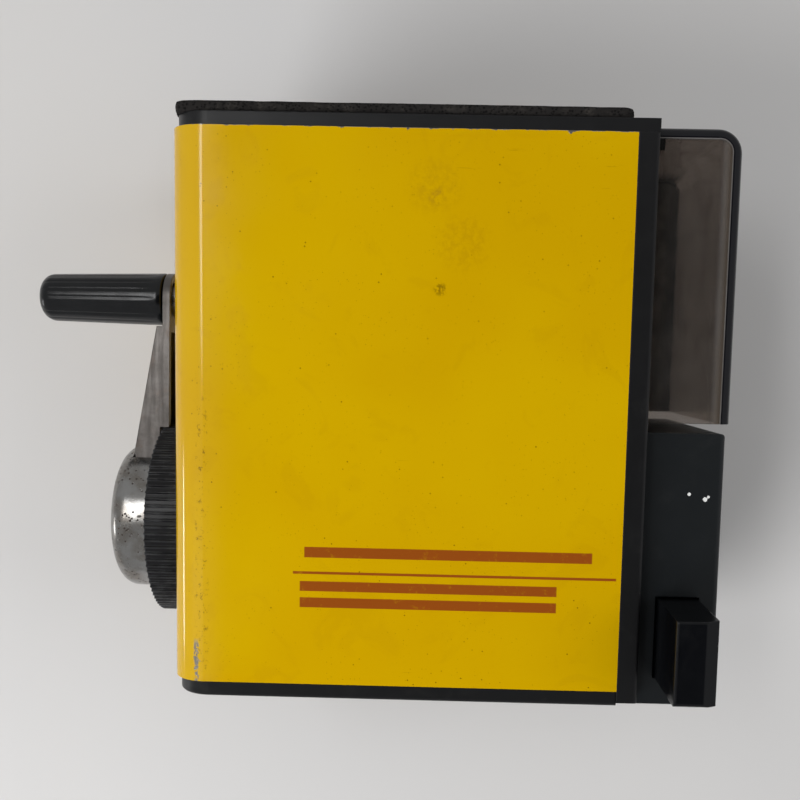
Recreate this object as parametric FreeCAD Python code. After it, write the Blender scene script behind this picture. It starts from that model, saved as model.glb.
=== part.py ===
import FreeCAD, Part
import math
import os

from FreeCAD import Vector

# Self-feeding desk pencil sharpener with a rear crank, millimetres.
# X runs across, -Y is the front with the drawer, +Y the rear with the crank, Z is up.
# The origin is the centre of the foot pad's underside.

# Body
body_width = 60.0
body_depth = 84.6
wrap_height = 102.6
sheet = 0.8
fold_radius = 6.5
foam_thickness = 2.0
foam_inset = 0.4
foam_corner = 2.5
base_lip = 2.4
base_rear_inset = 0.9
top_lip = 2.9
top_side_inset = 0.3
top_rear_inset = 0.9
top_edge_round = 0.6
top_skirt = 6.0
bezel_depth = 3.9
bezel_edge_round = 0.6
bezel_top_drop = 0.7
axis_drop = 26.9

# Chassis inside the wrap
chassis_wall = 1.5
chassis_gap = 0.3
front_plate = 3.0
floor_plate = 1.8
floor_gap = 1.1
rear_pad = 3.6
rear_pad_half = 22.5
chute_half = 22.6
chute_lead = 16.8
runner_height = 6.0
runner_width = 2.3
boss_radius = 3.2
rear_boss_inset = 9.0

# Pencil passage
pencil_bore = 5.75
guide_wall = 1.5
guide_flange = 3.0
guide_flange_thickness = 2.0
guide_front_reach = 2.6
guide_rear_gap = 0.8

# Drawer
drawer_half = 24.8
drawer_wall = 1.6
drawer_reach = 16.3
drawer_rear_gap = 2.1
drawer_head_drop = 2.1
drawer_nose_round = 4.5
drawer_corner = 1.6
nose_gap = 1.8

# Carriage, the front block that holds the pencil and slides out
nose_half = 25.3
nose_depth = 15.5
block_height = 52.4
block_rise = 0.8
block_round = 1.0
cover_wall = 2.0
cover_front = 2.5
back_plate = 2.0
back_plate_recess = 0.2
carriage_gap = 0.5
entry_wall = 2.0
entry_flange = 1.8
entry_flange_thickness = 1.0
plate_screw_x = 9.0
plate_screw_rise = 4.3
plate_boss_radius = 1.9
slide_ledge = 1.7

# Guide rods and feed springs
rod_radius = 2.0
rod_inset = 4.0
rod_rise = 6.8
rod_head = 1.0
rod_head_thickness = 1.5
rod_tail = 2.5
bush_wall = 1.7
bush_flange = 0.6
bush_flange_thickness = 1.2
seat_radius = 3.4
seat_thickness = 1.5
carriage_travel = 38.0
spring_wire = 0.6
feed_spring_turns = 13
feed_spring_spare = 10.0

# Squeeze ears, jaw slides and jaws
ear_reach = 17.7
ear_root = 8.3
ear_thickness = 7.7
ear_height = 15.4
ear_setback = 3.9
ear_rise = 9.8
ear_bevel_y = 2.4
ear_bevel_x = 1.3
ear_round = 0.6
ear_travel = 5.0
slide_plate = 1.8
slide_front_gap = 0.8
slide_rear_gap = 0.9
slide_drop = 9.1
slide_top = 8.9
slide_bar = 5.0
slide_rail = 2.5
jaw_thickness = 2.0
jaw_half_height = 4.0
jaw_half_gap = 0.9
jaw_bite = 4.0
jaw_teeth = 4
jaw_tooth_depth = 0.9
jaw_spring_wire = 0.5
jaw_spring_radius = 1.95
jaw_spring_turns = 7
rib_half = 1.0
rib_margin = 1.9

# Bearing ring on the rear wall
ring_radius = 20.0
ring_reach = 7.7
ring_wall_gap = 0.3
knurl_count = 90
knurl_depth = 0.45
knurl_root_share = 0.36
knurl_tip_share = 0.2
spigot_wall = 2.2
spigot_depth = 14.5
ring_web = 4.0
ring_web_inset = 2.5
boss_ring_radius = 6.5
boss_ring_depth = 1.3
lug_count = 3
lug_height = 1.8
lug_thickness = 2.8
lug_degrees = 38.0
bayonet_degrees = 45.0
spigot_gap = 0.3

# Crank
shaft_radius = 3.5
collar_wall = 2.6
crank_radius = 46.0
arm_gap = 0.4
arm_sheet = 1.2
arm_root_width = 14.0
arm_tip_width = 10.8
arm_root_height = 5.2
arm_drop = 1.9
arm_tip_height = 1.5
arm_heel = 1.2
arm_seat_gap = 0.25
arm_eye_gap = 1.6
arm_boss_wall = 3.0
hub_radius = 15.0
hub_height = 9.9
hub_round = 3.4
hub_dome = 55.0
hub_screw_sink = 0.2
hub_shell = 1.0
hub_notch_gap = 0.3
hub_post_wall = 2.2
hub_screw_radius = 1.9
hub_screw_head = 3.6
hub_screw_length = 14.0
knob_base_radius = 5.45
knob_tip_radius = 4.85
knob_length = 26.3
knob_round = 2.8
knob_gap = 0.3
knob_bore_rest = 3.0
stud_radius = 2.0
stud_head = 1.6
stud_head_thickness = 0.9

# Cutter head
cone_degrees = 10.5
cutter_radius = 8.0
cutter_teeth = 12
cutter_tooth_depth = 0.9
cutter_root_share = 0.75
cutter_tip_share = 0.15
cutter_twist = 32.0
cutter_sections = 5
tip_inset = 20.3
cutter_lead = 22.2
cutter_tail = 1.6
axle_radius = 1.3
ring_teeth = 30
pinion_teeth = 12
pinion_offset = 8.5
gear_face = 4.0
gear_pressure = 25.0
gear_addendum = 0.65
gear_dedendum = 0.95
gear_backlash = 0.14
ring_gear_rim = 2.2
pinion_hub_wall = 1.2
carrier_bore = 6.3
carrier_wall = 3.0
carrier_plate = 3.2
carrier_front_plate = 3.6
carrier_end_gap = 0.9
carrier_rim = 3.2

# Screws
screw_radius = 1.2
screw_head = 2.1
screw_head_height = 1.2
base_screw_length = 9.0
plate_screw_length = 8.0
bezel_screw_length = 6.4
bezel_screw_x = 18.0
bezel_screw_rise = 17.0
screw_pocket = 0.4

# Clearances
seat_gap = 0.02
run_gap = 0.05
slide_gap = 0.3
window_gap = 0.5
cut_past = 1.0
tiny = 1e-6

# Planes and axes that the pieces share
half_width = body_width / 2
rear_face = body_depth / 2
wrap_front = -body_depth / 2
bezel_front = wrap_front - bezel_depth
wrap_bottom = foam_thickness + base_lip
wrap_top = wrap_bottom + wrap_height
body_top = wrap_top + top_lip
axis_z = wrap_top - axis_drop

chassis_half = half_width - sheet - chassis_gap
chassis_rear = rear_face - sheet - chassis_gap
chassis_fold = fold_radius - sheet - chassis_gap
chassis_top = wrap_top - top_skirt - window_gap
chassis_inner = chassis_half - chassis_wall
plate_rear = wrap_front + front_plate
pad_front = chassis_rear - rear_pad
rear_boss_y = chassis_rear - chassis_wall - boss_radius / 2

block_front = bezel_front - nose_depth
carriage_rear = bezel_front - carriage_gap
block_top = body_top + block_rise
block_bottom = block_top - block_height
drawer_top = block_bottom - nose_gap
drawer_rear = rear_boss_y - boss_radius - drawer_rear_gap
tray_half = chassis_inner - runner_width - slide_gap
floor_bottom = drawer_top + floor_gap
floor_top = floor_bottom + floor_plate

back_plate_rear = carriage_rear - back_plate_recess
back_plate_front = back_plate_rear - back_plate
cover_inner = block_front + cover_front

guide_radius = pencil_bore + guide_wall
rod_x = nose_half - cover_wall - rod_inset
rod_z = block_bottom + rod_rise
bush_radius = rod_radius + run_gap + bush_wall
bush_end = plate_rear + bush_flange_thickness
coil_radius = rod_radius + slide_gap + spring_wire / 2
feed_spring_length = carriage_travel + feed_spring_spare
seat_front = bush_end + feed_spring_length
rod_end = seat_front + seat_thickness + rod_tail

ear_front = block_front + ear_setback
ear_rear = ear_front + ear_thickness
ear_bottom = axis_z + ear_rise
ear_mid_y = (ear_front + ear_rear) / 2
ear_mid_z = ear_bottom + ear_height / 2
ear_inner = nose_half - ear_root
ear_shoulder = nose_half - cover_wall - slide_gap

ring_outer = rear_face + ring_reach
arm_inner = ring_outer + arm_gap
arm_outer = arm_inner + arm_root_height
knob_z = axis_z - crank_radius
arm_low = arm_inner - arm_drop
arm_seat = arm_low + arm_tip_height
knob_base = arm_seat + knob_gap
hub_top = arm_inner + hub_height
arm_eye_radius = hub_radius - hub_shell - arm_eye_gap
spigot_front = rear_face - spigot_depth
boss_ring_inner = rear_face - boss_ring_depth

# Cutter axis: it lies along the pencil cone and meets the crank axis behind the tip
cone = math.radians(cone_degrees)
tip_y = rear_face - tip_inset
apex_y = tip_y + cutter_radius / math.sin(cone)
cutter_dir = Vector(0, math.cos(cone), math.sin(cone))
pinion_y = tip_y + pinion_offset
cutter_front = tip_y - cutter_lead
cutter_rear = tip_y + cutter_tail

# Internal ring gear and pinion: cones that share the apex, sized at the pinion's middle plane
gear_ratio = ring_teeth / pinion_teeth
pinion_cone = math.atan(math.sin(cone) / (gear_ratio - math.cos(cone)))
gear_reach = apex_y - pinion_y
pinion_pitch = gear_reach / math.cos(cone) * math.tan(pinion_cone)
ring_pitch = gear_reach * math.tan(pinion_cone + cone)
gear_module = 2 * pinion_pitch / pinion_teeth
ring_root = ring_pitch + gear_dedendum * gear_module
ring_gear_radius = ring_root * (gear_reach + gear_face / 2) / gear_reach + ring_gear_rim
spigot_bore = ring_gear_radius + seat_gap
spigot_radius = spigot_bore + spigot_wall


def cutter_point(y):
    """Point of the cutter's axis at a given Y; the cutter rides below the pencil at rest."""
    return Vector(0, y, axis_z - (apex_y - y) * math.tan(cone))


# Basic solids
def box(x0, x1, y0, y1, z0, z1):
    return Part.makeBox(x1 - x0, y1 - y0, z1 - z0, Vector(x0, y0, z0))


def rod_y(radius, y0, y1, x=0.0, z=axis_z):
    return Part.makeCylinder(radius, y1 - y0, Vector(x, y0, z), Vector(0, 1, 0))


def tube_y(outer, inner, y0, y1, x=0.0, z=axis_z):
    return rod_y(outer, y0, y1, x, z).cut(rod_y(inner, y0 - cut_past, y1 + cut_past, x, z))


def polygon(points):
    return Part.Face(Part.makePolygon(points + points[:1]))


def union(shapes):
    joined = shapes[0].multiFuse(shapes[1:])
    return joined.removeSplitter()


def subtract(shape, tools):
    for tool in tools:
        shape = shape.cut(tool)
    return shape


def mirrored(shape):
    return shape.mirror(Vector(0, 0, 0), Vector(1, 0, 0))


def group(shapes):
    return Part.makeCompound(shapes)


def save(shape, node):
    shape.exportStep("parts/" + node + ".step")
    return shape


def plan_solid(half, rear, radius, front, z0, z1):
    """Plan outline with a square front and two rounded rear corners, raised from z0 to z1."""
    s = radius * math.sqrt(0.5)
    cx = half - radius
    cy = rear - radius
    right = Part.Arc(Vector(half, cy, z0), Vector(cx + s, cy + s, z0), Vector(cx, rear, z0))
    left = Part.Arc(Vector(-cx, rear, z0), Vector(-cx - s, cy + s, z0), Vector(-half, cy, z0))
    edges = [
        Part.LineSegment(Vector(half, front, z0), Vector(half, cy, z0)).toShape(),
        right.toShape(),
        Part.LineSegment(Vector(cx, rear, z0), Vector(-cx, rear, z0)).toShape(),
        left.toShape(),
        Part.LineSegment(Vector(-half, cy, z0), Vector(-half, front, z0)).toShape(),
        Part.LineSegment(Vector(-half, front, z0), Vector(half, front, z0)).toShape(),
    ]
    return Part.Face(Part.Wire(edges)).extrude(Vector(0, 0, z1 - z0))


def plan_wall(half, rear, radius, front, wall, z0, z1):
    outer = plan_solid(half, rear, radius, front, z0, z1)
    inner = plan_solid(half - wall, rear - wall, radius - wall, front - wall, z0 - wall, z1 + wall)
    return outer.cut(inner)


def edges_along(shape, direction, test):
    """Straight edges parallel to a direction whose middle passes the test."""
    found = []
    for edge in shape.Edges:
        if edge.Curve.TypeId != "Part::GeomLine":
            continue
        run = edge.Vertexes[1].Point.sub(edge.Vertexes[0].Point)
        if run.cross(direction).Length < tiny and test(edge.CenterOfMass):
            found.append(edge)
    return found


def countersunk(start, direction, length, radius, head):
    """Countersunk screw: start is the middle of its flat head."""
    cone_part = Part.makeCone(head, radius, screw_head_height, start, direction)
    return cone_part.fuse(Part.makeCylinder(radius, length, start, direction)).removeSplitter()


def countersink(start, direction, length, radius, head, gap):
    cone_part = Part.makeCone(head + gap, radius + gap, screw_head_height, start, direction)
    lead = Part.makeCylinder(head + gap, screw_head_height, start, direction * -1)
    return union([cone_part, lead, Part.makeCylinder(radius + gap, length, start, direction)])


# Springs: a round wire on arcs that follow a helix
def arc_from(start, corner, end):
    """Arc from start to end whose end tangents meet at corner."""
    middle = (start + end) * 0.5
    half_chord = (end - start).Length / 2
    lean = math.acos(min(1.0, half_chord / (corner - start).Length))
    rise = (corner - middle).normalize() * (half_chord * math.tan(lean / 2))
    return Part.Arc(start, middle + rise, end).toShape()


def biarc(start, start_dir, end, end_dir):
    run = end - start
    both = start_dir + end_dir
    bend = 2 * (1 - start_dir.dot(end_dir))
    reach = run.dot(both)
    arm = (math.sqrt(reach * reach + bend * run.dot(run)) - reach) / bend
    corner_a = start + start_dir * arm
    corner_b = end - end_dir * arm
    joint = (corner_a + corner_b) * 0.5
    return [arc_from(start, corner_a, joint), arc_from(joint, corner_b, end)]


def coil(start, axis, side, radius, wire, turns, length, name):
    """Wire coil along axis; side is the radial direction where it starts."""
    other = axis.cross(side)
    pitch = length / turns

    def point(t):
        a = 2 * math.pi * t
        return start + side * (radius * math.cos(a)) + other * (radius * math.sin(a)) + axis * (pitch * t)

    def tangent(t):
        a = 2 * math.pi * t
        round_run = side * -math.sin(a) + other * math.cos(a)
        return (round_run * (2 * math.pi * radius) + axis * pitch).normalize()

    edges = []
    for quarter in range(4 * turns):
        t0 = quarter / 4
        t1 = (quarter + 1) / 4
        edges += biarc(point(t0), tangent(t0), point(t1), tangent(t1))
    profile = Part.Wire([Part.makeCircle(wire / 2, point(0), tangent(0))])
    body = Part.Wire(edges).makePipeShell([profile], True, False)
    samples = [point(i / 24) for i in range(24 * turns + 1)]
    first_turn = samples[:25]
    least = min(a.distanceToPoint(b) for i, a in enumerate(first_turn) for b in samples[i + 13:])
    print(name, "least gap to itself", round(least - wire, 2))
    return body


# Gears: straight flanks between the root and tip circles, tapered towards the shared apex
def involute(angle):
    return math.tan(angle) - angle


def flank_half_angle(teeth, pitch, radius, thickness_change):
    """Half angle of a tooth at a radius, with its arc thickness changed at the pitch circle."""
    pressure = math.radians(gear_pressure)
    base = pitch * math.cos(pressure)
    at_radius = math.acos(min(1.0, base / radius))
    half = math.pi / (2 * teeth) + thickness_change / (2 * pitch)
    return half + involute(pressure) - involute(at_radius)


def toothed_points(teeth, root, tip, root_half, tip_half):
    """Outline in polar pairs; the first tooth points along angle zero."""
    pairs = []
    for tooth in range(teeth):
        middle = 2 * math.pi * tooth / teeth
        pairs += [
            (root, middle - root_half),
            (tip, middle - tip_half),
            (tip, middle + tip_half),
            (root, middle + root_half),
        ]
    return pairs


def placed_wire(pairs, centre, along, across, scale):
    points = []
    for radius, angle in pairs:
        r = radius * scale
        points.append(centre + along * (r * math.cos(angle)) + across * (r * math.sin(angle)))
    return Part.makePolygon(points + points[:1])


# Fixed body pieces
def make_foam_pad():
    half = half_width - foam_inset
    depth = body_depth / 2 - foam_inset
    pad = box(-half, half, -depth, depth, 0, foam_thickness)
    return pad.makeFillet(foam_corner, edges_along(pad, Vector(0, 0, 1), lambda p: True))


def base_screw_points():
    front_x = (half_width + tray_half + window_gap) / 2
    front_y = wrap_front - bezel_depth / 2
    rear_x = half_width - rear_boss_inset
    return [(front_x, front_y), (-front_x, front_y), (rear_x, rear_boss_y), (-rear_x, rear_boss_y)]


def make_base_plate():
    plate = plan_solid(half_width, rear_face - base_rear_inset, fold_radius, bezel_front,
                       foam_thickness, wrap_bottom)
    up = Vector(0, 0, 1)
    holes = []
    for x, y in base_screw_points():
        start = Vector(x, y, foam_thickness + seat_gap)
        holes.append(countersink(start, up, base_screw_length, screw_radius, screw_head, seat_gap))
    return subtract(plate, holes)


def make_base_screws():
    up = Vector(0, 0, 1)
    screws = []
    for x, y in base_screw_points():
        start = Vector(x, y, foam_thickness + seat_gap)
        screws.append(countersunk(start, up, base_screw_length, screw_radius, screw_head))
    return group(screws)


def screw_socket(x, y):
    top = foam_thickness + base_screw_length + screw_pocket
    return Part.makeCylinder(screw_radius + seat_gap, top, Vector(x, y, 0), Vector(0, 0, 1))


def bayonet_hole(y0, y1):
    """Hole that lets the lugged spigot of the bearing ring in, with its notches turned from rest."""
    hole = rod_y(spigot_radius + spigot_gap, y0, y1)
    notches = []
    for i in range(lug_count):
        notch = lug_sector(spigot_gap, y0, y1)
        turn = bayonet_degrees + i * 360 / lug_count
        notch.rotate(Vector(0, 0, axis_z), Vector(0, 1, 0), turn)
        notches.append(notch)
    return hole.multiFuse(notches)


def lug_sector(gap, y0, y1):
    """One lug, or with a gap its notch, centred above the axis."""
    widen = math.degrees(gap / spigot_radius)
    degrees = lug_degrees + 2 * widen
    outer = Part.makeCylinder(spigot_radius + lug_height + gap, y1 - y0, Vector(0, y0, axis_z),
                              Vector(0, 1, 0), degrees)
    inner = rod_y(spigot_radius - spigot_wall / 2, y0 - cut_past, y1 + cut_past)
    sector = outer.cut(inner)
    sector.rotate(Vector(0, 0, axis_z), Vector(0, 1, 0), -degrees / 2)
    return sector


def make_body_shell():
    wall = plan_wall(half_width, rear_face, fold_radius, wrap_front, sheet, wrap_bottom, wrap_top)
    return wall.cut(bayonet_hole(rear_face - 2 * sheet, rear_face + sheet))


def make_top_cover():
    lid = plan_solid(half_width - top_side_inset, rear_face - top_rear_inset, fold_radius, wrap_front,
                     wrap_top, body_top)
    rim = [e for e in lid.Edges if e.CenterOfMass.z > body_top - tiny and e.CenterOfMass.y > wrap_front + tiny]
    lid = lid.makeFillet(top_edge_round, rim)
    skirt = plan_wall(chassis_half, chassis_rear, chassis_fold, wrap_front, chassis_wall,
                      wrap_top - top_skirt, wrap_top)
    return union([lid, skirt])


def bezel_screw_points():
    z = axis_z + bezel_screw_rise
    return [Vector(x, bezel_front, z) for x in (-bezel_screw_x, bezel_screw_x)]


def make_front_bezel():
    frame = box(-half_width, half_width, bezel_front, wrap_front, wrap_bottom,
                body_top - bezel_top_drop)
    sides = edges_along(frame, Vector(0, 0, 1), lambda p: p.y < bezel_front + tiny)
    frame = frame.makeFillet(bezel_edge_round, sides)
    window = tray_half + window_gap
    cuts = [box(-window, window, bezel_front - cut_past, wrap_front + cut_past, 0, drawer_top + window_gap)]
    cuts.append(rod_y(guide_radius + slide_gap, bezel_front - cut_past, wrap_front + cut_past))
    for x in (-rod_x, rod_x):
        cuts.append(rod_y(bush_radius + seat_gap, bezel_front - cut_past, wrap_front + cut_past, x, rod_z))
    for start in bezel_screw_points():
        cuts.append(countersink(start, Vector(0, 1, 0), bezel_screw_length, screw_radius, screw_head,
                                seat_gap))
    for x, y in base_screw_points()[:2]:
        cuts.append(screw_socket(x, y))
    return subtract(frame, cuts)


def make_bezel_screws():
    screws = []
    for start in bezel_screw_points():
        screws.append(countersunk(start, Vector(0, 1, 0), bezel_screw_length, screw_radius, screw_head))
    return group(screws)


def make_chassis():
    wall = plan_wall(chassis_half, chassis_rear, chassis_fold, wrap_front, chassis_wall,
                     wrap_bottom, chassis_top)
    rooted = chassis_inner + chassis_wall / 2
    plate = box(-rooted, rooted, wrap_front, plate_rear, floor_bottom, chassis_top)
    pad = box(-rear_pad_half, rear_pad_half, pad_front, chassis_rear - chassis_wall / 2,
              floor_bottom, chassis_top)
    rail_rear = chassis_rear - chassis_fold
    floor = box(-rooted, rooted, plate_rear - front_plate / 2, rail_rear, floor_bottom, floor_top)
    solids = [wall, plate, pad, floor]
    for side in (-1, 1):
        near = side * (tray_half + slide_gap)
        far = side * rooted
        solids.append(box(min(near, far), max(near, far), wrap_front, rail_rear, wrap_bottom,
                          wrap_bottom + runner_height))
    boss_top = wrap_bottom + base_screw_length
    for x, y in base_screw_points()[2:]:
        solids.append(Part.makeCylinder(boss_radius, boss_top - wrap_bottom, Vector(x, y, wrap_bottom)))
    body = union(solids)
    cuts = [
        box(-chute_half, chute_half, cutter_front - chute_lead, pad_front - slide_gap, floor_bottom - cut_past,
            floor_top + cut_past),
        rod_y(guide_radius + seat_gap, wrap_front - cut_past, plate_rear + cut_past),
        bayonet_hole(pad_front - cut_past, chassis_rear + cut_past),
    ]
    for x in (-rod_x, rod_x):
        cuts.append(rod_y(bush_radius + seat_gap, wrap_front - cut_past, plate_rear + cut_past, x, rod_z))
    for start in bezel_screw_points():
        cuts.append(rod_y(screw_radius + seat_gap, wrap_front - cut_past, plate_rear + cut_past,
                          start.x, start.z))
    for x, y in base_screw_points()[2:]:
        cuts.append(screw_socket(x, y))
    return subtract(body, cuts)


def make_pencil_guide():
    guide_rear = carrier_front_face() - carrier_front_plate - guide_rear_gap
    tube = rod_y(guide_radius, wrap_front - guide_front_reach, guide_rear)
    flange = rod_y(guide_radius + guide_flange, plate_rear, plate_rear + guide_flange_thickness)
    return union([tube, flange]).cut(rod_y(pencil_bore, bezel_front - cut_past, guide_rear + cut_past))


def make_rod_bush():
    sleeve = rod_y(bush_radius, bezel_front, bush_end, rod_x, rod_z)
    flange = rod_y(bush_radius + bush_flange, plate_rear, bush_end, rod_x, rod_z)
    bore = rod_y(rod_radius + run_gap, bezel_front - cut_past, bush_end + cut_past, rod_x, rod_z)
    return union([sleeve, flange]).cut(bore)


def make_feed_spring():
    """Compressed between the bush flange and the rod's seat when the carriage is pulled out."""
    end_gap = slide_gap / 2 + spring_wire / 2
    start = Vector(rod_x, bush_end + end_gap, rod_z)
    return coil(start, Vector(0, 1, 0), Vector(1, 0, 0), coil_radius, spring_wire, feed_spring_turns,
                feed_spring_length - 2 * end_gap, "feed spring")


# Drawer
def make_drawer():
    """Rounded head in front of the bezel, and the tray behind it that runs in the chassis."""
    front = bezel_front - drawer_reach
    head_rear = bezel_front - window_gap
    bottom = wrap_bottom + slide_gap
    head_bottom = wrap_bottom - drawer_head_drop
    head = box(-drawer_half, drawer_half, front, head_rear, head_bottom, drawer_top)
    nose = edges_along(head, Vector(1, 0, 0), lambda p: p.y < front + tiny and p.z < head_bottom + tiny)
    head = head.makeFillet(drawer_nose_round, nose)
    sides = edges_along(head, Vector(0, 0, 1), lambda p: p.y < front + tiny)
    head = head.makeFillet(drawer_corner, sides)
    tray = box(-tray_half, tray_half, head_rear - drawer_wall, drawer_rear, bottom, drawer_top)
    head_half = drawer_half - drawer_wall
    inner_front = front + drawer_wall
    top = drawer_top + cut_past
    head_hollow = box(-head_half, head_half, inner_front, head_rear - drawer_wall,
                      head_bottom + drawer_wall, top)
    inner_nose = edges_along(head_hollow, Vector(1, 0, 0),
                             lambda p: p.y < inner_front + tiny and p.z < drawer_top)
    head_hollow = head_hollow.makeFillet(drawer_nose_round - drawer_wall, inner_nose)
    inner_half = tray_half - drawer_wall
    tray_hollow = box(-inner_half, inner_half, head_rear, drawer_rear - drawer_wall, bottom + drawer_wall, top)
    mouth_half = min(head_half, inner_half)
    mouth = box(-mouth_half, mouth_half, head_rear - 2 * drawer_wall, head_rear + drawer_wall,
                bottom + drawer_wall, top)
    return subtract(union([head, tray]), [head_hollow, tray_hollow, mouth])


# Carriage
def plate_screw_points():
    z = block_bottom + plate_screw_rise
    return [Vector(x, back_plate_rear, z) for x in (-plate_screw_x, plate_screw_x)]


def make_carriage_cover():
    block = box(-nose_half, nose_half, block_front, carriage_rear, block_bottom, block_top)
    upright = edges_along(block, Vector(0, 0, 1), lambda p: p.y < block_front + tiny)
    crown = edges_along(block, Vector(1, 0, 0), lambda p: p.y < block_front + tiny)
    block = block.makeFillet(block_round, upright + crown)
    inner_half = nose_half - cover_wall
    block = block.cut(box(-inner_half, inner_half, cover_inner, carriage_rear + cut_past,
                          block_bottom + cover_wall, block_top - cover_wall))
    ledge_top = axis_z - slide_drop - slide_gap
    rib_rear = back_plate_front - slide_gap
    rooted = cover_inner - cover_front / 2
    ledge_half = rod_x - rod_radius - rod_head - window_gap
    solids = [
        block,
        box(-ledge_half, ledge_half, rooted, rib_rear, ledge_top - slide_ledge, ledge_top),
        box(-rib_half, rib_half, rooted, rib_rear, ear_bottom + rib_margin,
            ear_bottom + ear_height - rib_margin),
    ]
    for start in plate_screw_points():
        solids.append(rod_y(plate_boss_radius, rooted, back_plate_front, start.x, start.z))
    cover = union(solids)
    cuts = [rod_y(pencil_bore + entry_wall + seat_gap, block_front - cut_past, cover_inner + cut_past)]
    slot = box(-nose_half - cut_past, nose_half + cut_past, ear_front - slide_gap, ear_rear + slide_gap,
               ear_bottom - slide_gap, ear_bottom + ear_height + slide_gap)
    middle = box(-inner_half, inner_half, block_front, carriage_rear, block_bottom, block_top)
    cuts.append(slot.cut(middle))
    for start in plate_screw_points():
        hole_end = start.y - plate_screw_length - screw_pocket
        cuts.append(rod_y(screw_radius + seat_gap, hole_end, start.y + cut_past, start.x, start.z))
    return subtract(cover, cuts)


def make_carriage_plate():
    half = nose_half - cover_wall - slide_gap / 2
    plate = box(-half, half, back_plate_front, back_plate_rear, block_bottom + cover_wall + slide_gap / 2,
                block_top - cover_wall - slide_gap / 2)
    cuts = [rod_y(guide_radius + slide_gap, back_plate_front - cut_past, back_plate_rear + cut_past)]
    for x in (-rod_x, rod_x):
        cuts.append(rod_y(rod_radius + seat_gap, back_plate_front - cut_past, back_plate_rear + cut_past,
                          x, rod_z))
    for start in plate_screw_points():
        cuts.append(countersink(start, Vector(0, -1, 0), plate_screw_length, screw_radius, screw_head,
                                seat_gap))
    return subtract(plate, cuts)


def make_plate_screws():
    screws = []
    for start in plate_screw_points():
        screws.append(countersunk(start, Vector(0, -1, 0), plate_screw_length, screw_radius, screw_head))
    return group(screws)


def make_entry_ring():
    sleeve = rod_y(pencil_bore + entry_wall, block_front - entry_flange_thickness, cover_inner)
    flange = rod_y(pencil_bore + entry_wall + entry_flange, block_front - entry_flange_thickness, block_front)
    bore = rod_y(pencil_bore, block_front - entry_flange_thickness - cut_past, cover_inner + cut_past)
    mouth = Part.makeCone(pencil_bore + entry_wall / 2, pencil_bore, entry_wall / 2,
                          Vector(0, block_front - entry_flange_thickness, axis_z), Vector(0, 1, 0))
    return subtract(union([sleeve, flange]), [bore, mouth])


def make_guide_rod():
    shank = rod_y(rod_radius, back_plate_front, rod_end, rod_x, rod_z)
    head = rod_y(rod_radius + rod_head, back_plate_front - rod_head_thickness, back_plate_front, rod_x, rod_z)
    return union([shank, head])


def make_rod_seats():
    seats = []
    for x in (-rod_x, rod_x):
        seats.append(tube_y(seat_radius, rod_radius + seat_gap, seat_front, seat_front + seat_thickness,
                            x, rod_z))
    return group(seats)


# Squeeze ears: each ear carries a plate that reaches past the pencil to the jaw on the far side
def slide_layer(front_layer):
    if front_layer:
        start = cover_inner + slide_front_gap
        return start, start + slide_plate
    end = back_plate_front - slide_rear_gap
    return end - slide_plate, end


def make_ear(front_layer):
    y0, y1 = slide_layer(front_layer)
    outer = nose_half + ear_reach
    ear_top = ear_bottom + ear_height
    block = box(ear_shoulder, outer, ear_front, ear_rear, ear_bottom, ear_top)
    rounds = edges_along(block, Vector(0, 1, 0), lambda p: p.x > outer - tiny)
    rounds += edges_along(block, Vector(0, 0, 1), lambda p: p.x > outer - tiny and p.y > ear_mid_y)
    block = block.makeFillet(ear_round, rounds)
    bevel = polygon([
        Vector(outer + cut_past, ear_front + ear_bevel_y, 0),
        Vector(outer, ear_front + ear_bevel_y, 0),
        Vector(outer - ear_bevel_x, ear_front, 0),
        Vector(outer - ear_bevel_x, ear_front - cut_past, 0),
        Vector(outer + cut_past, ear_front - cut_past, 0),
    ]).extrude(Vector(0, 0, block_top + ear_height))
    block = block.cut(bevel)
    near = pencil_bore + ear_travel + window_gap
    far = jaw_half_gap + pencil_bore
    bottom = axis_z - slide_drop
    top = axis_z + slide_top
    ring = box(-far - slide_bar, near + slide_bar, y0, y1, bottom, top)
    window = box(-far, near, y0 - cut_past, y1 + cut_past, bottom + slide_rail, top - slide_rail)
    neck = box(near, ear_inner + slide_bar, y0, y1, top - slide_rail, ear_top)
    shoulder = box(ear_inner, ear_shoulder, cover_inner + slide_gap, back_plate_front - slide_gap,
                   ear_bottom, ear_top)
    return union([block, shoulder, ring.cut(window), neck])


def make_jaw(front_layer):
    """Toothed steel plate on the far bar of the slide, biting towards the pencil."""
    y0, y1 = slide_layer(front_layer)
    seat = y1 if front_layer else y0 - jaw_thickness
    tip = -jaw_half_gap
    root = -jaw_half_gap - pencil_bore - jaw_bite
    pitch = 2 * jaw_half_height / jaw_teeth
    bottom = axis_z - jaw_half_height
    points = [Vector(root, seat, bottom), Vector(tip - jaw_tooth_depth, seat, bottom)]
    for tooth in range(jaw_teeth):
        z = bottom + tooth * pitch
        points.append(Vector(tip, seat, z + pitch / 2))
        points.append(Vector(tip - jaw_tooth_depth, seat, z + pitch))
    points.append(Vector(root, seat, bottom + 2 * jaw_half_height))
    return polygon(points).extrude(Vector(0, jaw_thickness, 0))


def make_jaw_spring():
    end_gap = slide_gap / 2 + jaw_spring_wire / 2
    middle_y = (slide_layer(True)[1] + slide_layer(False)[0]) / 2
    start = Vector(rib_half + end_gap, middle_y, ear_mid_z)
    length = ear_inner - rib_half - 2 * end_gap
    return coil(start, Vector(1, 0, 0), Vector(0, 0, 1), jaw_spring_radius, jaw_spring_wire,
                jaw_spring_turns, length, "jaw spring")


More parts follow.
